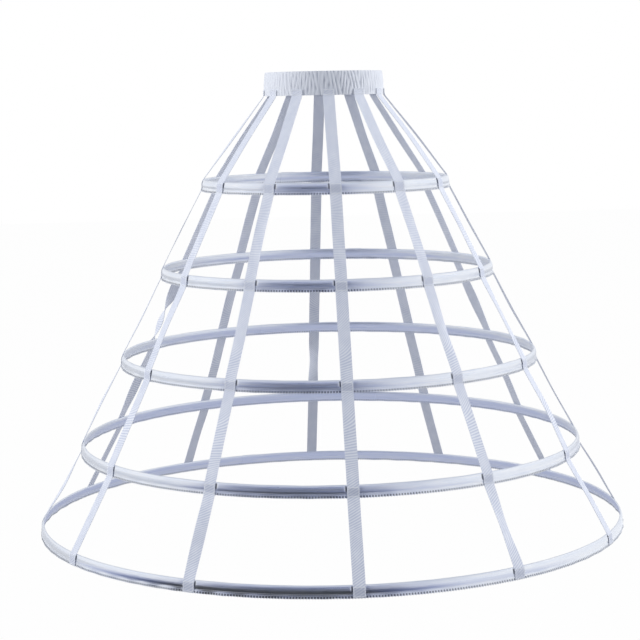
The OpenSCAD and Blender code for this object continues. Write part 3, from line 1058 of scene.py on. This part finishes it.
def surroundings():
    """A cool fill from all round, seen as plain white and mirrored whiter low down and at the sides."""
    world = bpy.data.worlds.new("studio")
    world.use_nodes = True
    tree = world.node_tree
    fill = tree.nodes["Background"]
    fill.inputs["Color"].default_value = (0.84, 0.89, 1.0, 1.0)
    way = parts(tree, put(tree, "ShaderNodeTexCoord").outputs["Generated"])
    join(fill, "Strength", ranged(tree, way["Z"], 0.0, 0.7, 0.38, 0.55))
    low = ranged(tree, way["Z"], 0.1, 0.8, 1.0, 0.15)
    beside = ranged(tree, maths(tree, "ABSOLUTE", way["X"]), 0.4, 0.75)
    mirrored = maths(tree, "MAXIMUM", low, beside)
    white = put(tree, "ShaderNodeBackground", {"Color": (1.0, 1.0, 1.0, 1.0), "Strength": 1.0})
    mixed = seen_white(tree, fill.outputs["Background"], white.outputs["Background"], 1.0, mirrored)
    join(tree.nodes["World Output"], "Surface", mixed)
    bpy.context.scene.world = world


def softbox(name, place, aim, size, power):
    """A square lamp at a place, turned to face a point, and not mirrored in the satin."""
    lamp = bpy.data.lights.new(name, "AREA")
    lamp.size = size
    lamp.energy = power
    box = bpy.data.objects.new(name, lamp)
    box.location = place
    box.visible_glossy = False
    box.rotation_euler = (Vector(aim) - Vector(place)).to_track_quat("-Z", "Y").to_euler()
    bpy.context.scene.collection.objects.link(box)


def photo_camera():
    """The camera: to the left of the front, at about the waistband's height, looking a little down."""
    distance, turn_left = 3.487, math.radians(4.4)
    height = 0.8447
    yaw, pitch, roll = math.radians(0.264), math.radians(7.21), math.radians(1.13)
    heading = math.pi / 2 - turn_left + yaw
    forward = Vector(round_axis(heading, math.cos(pitch), -math.sin(pitch)))
    right = Vector((math.sin(heading), -math.cos(heading), 0.0))
    up = right.cross(forward)
    rolled_right = right * math.cos(roll) - up * math.sin(roll)
    rolled_up = right * math.sin(roll) + up * math.cos(roll)
    data = bpy.data.cameras.new("camera")
    data.sensor_width = 36.0
    data.lens = 99.62
    camera = bpy.data.objects.new("camera", data)
    bpy.context.scene.collection.objects.link(camera)
    axes = Matrix((rolled_right, rolled_up, -forward)).transposed()
    place = Vector(round_axis(FRONT - turn_left, distance, height))
    camera.matrix_world = Matrix.Translation(place) @ axes.to_4x4()
    bpy.context.scene.camera = camera


DEEP_BLUE, WHITE = (0.25, 0.38, 1.0), (1.0, 1.0, 1.0)
# Painted reflections, cards that glow only in gloss: the turn to each side that a dark one takes, and the
# places of all
CARD_TURN = math.radians(45)
CARD_R = 4.2
SCREEN_H = 6.0
LOW_CARDS_R = 0.58
LOW_CARDS_Z = 0.5 * MM
DARK_TURN = FRONT - math.radians(15)
RIGHT_SHARE = 0.85
WHITE_TURNS = np.radians(np.linspace(30, 120, 31))
WHITE_TURN = math.radians(75)
BLUE_R = (0.01, 0.574)
# Where a dark card begins to lighten, and over how far: as shares of its turn, by height and by radius
SIDE_FADE, SCREEN_FADE, LOW_CARD_FADE = (0.375, 0.625), (0.2, 4.2), (0.6, 1.6)
# Glow of each card, and what it gains where it is lighter
SCREEN_GLOW, SCREEN_GAIN = 0.02, 0.75
SIDE_GAIN = 0.85
LOW_CARD_GAIN = 0.5
WHITE_GLOW, WHITE_GAIN = 0.83, 0.17
BLUE_GLOW = 0.64


def fade(x, start, length):
    """A smooth step that begins at a start and takes a length."""
    return smooth((x - start) / length)


def gloss_card(name, points, glow):
    """A card that only gloss sees, with a glow at each point from 0, deep blue, to 1, white."""
    quads = grid_faces(*points.shape[:2], False, False)[0]
    glow = np.broadcast_to(glow, points.shape[:2])
    card = new_piece(name, points.reshape(-1, 3), [quads], shade=glow)
    material, tree, _ = start_material(name)
    glow_share = shade_share(tree)
    colour = between(tree, glow_share, DEEP_BLUE, WHITE)
    light = put(tree, "ShaderNodeEmission", links={"Color": colour, "Strength": glow_share})
    join(tree.nodes["Material Output"], "Surface", light.outputs["Emission"])
    material.cycles.emission_sampling = "NONE"
    card.data.materials.append(material)
    for ray in ("camera", "diffuse", "shadow", "transmission"):
        setattr(card, f"visible_{ray}", False)


def gloss_cards():
    """Painted reflections: a dark screen and three cards on the floor, which glow only for the satin to
    mirror.

    The tall screen stands before the cage, round to the left, and lightens towards its top. The dark card
    lies under it and lightens away from the hem, and both lighten to their two sides, sooner to the right.
    The white card lies to the cage's right, brightest along its middle, and the blue one inside the hem.
    """
    off_middle = np.linspace(-CARD_TURN, CARD_TURN, 46)[:, None]
    turn = DARK_TURN + off_middle
    reach = np.where(off_middle > 0, RIGHT_SHARE, 1.0) * CARD_TURN
    beside = SIDE_GAIN * fade(np.abs(off_middle) / reach, *SIDE_FADE)
    height = np.linspace(0.0, SCREEN_H, 13)
    upward = SCREEN_GLOW + SCREEN_GAIN * fade(height, *SCREEN_FADE)
    gloss_card("dark_reflection_screen", round_axis(turn, CARD_R, height), np.maximum(beside, upward))
    spread = np.linspace(LOW_CARDS_R, CARD_R, 25)
    outward = LOW_CARD_GAIN * fade(spread, *LOW_CARD_FADE)
    gloss_card("dark_low_reflection_card", round_axis(turn, spread, LOW_CARDS_Z), np.maximum(beside, outward))
    right = WHITE_TURNS[:, None]
    bright = WHITE_GLOW + WHITE_GAIN * smooth(2.0 - 2.0 * np.abs(right - WHITE_TURN) / CARD_TURN)
    gloss_card("white_low_reflection_card", round_axis(FRONT + right, spread, LOW_CARDS_Z), bright)
    all_round = np.linspace(0, 2 * math.pi, 49)[:, None]
    inside = np.linspace(*BLUE_R, 5)
    gloss_card("blue_low_reflection_card", round_axis(all_round, inside, LOW_CARDS_Z), BLUE_GLOW)


pale_floor()
gloss_cards()
surroundings()
MIDDLE = (0.0, 0.0, 0.45)
softbox("left_softbox", place=(-2.36, -0.1, 1.55), aim=MIDDLE, size=1.8, power=36.5)
softbox("right_softbox", place=(2.36, -0.1, 1.55), aim=MIDDLE, size=1.8, power=41.5)
softbox("front_softbox", place=(-0.3, -3.0, 1.3), aim=MIDDLE, size=2.0, power=8.5)
photo_camera()
bpy.context.scene.view_settings.view_transform = "Standard"
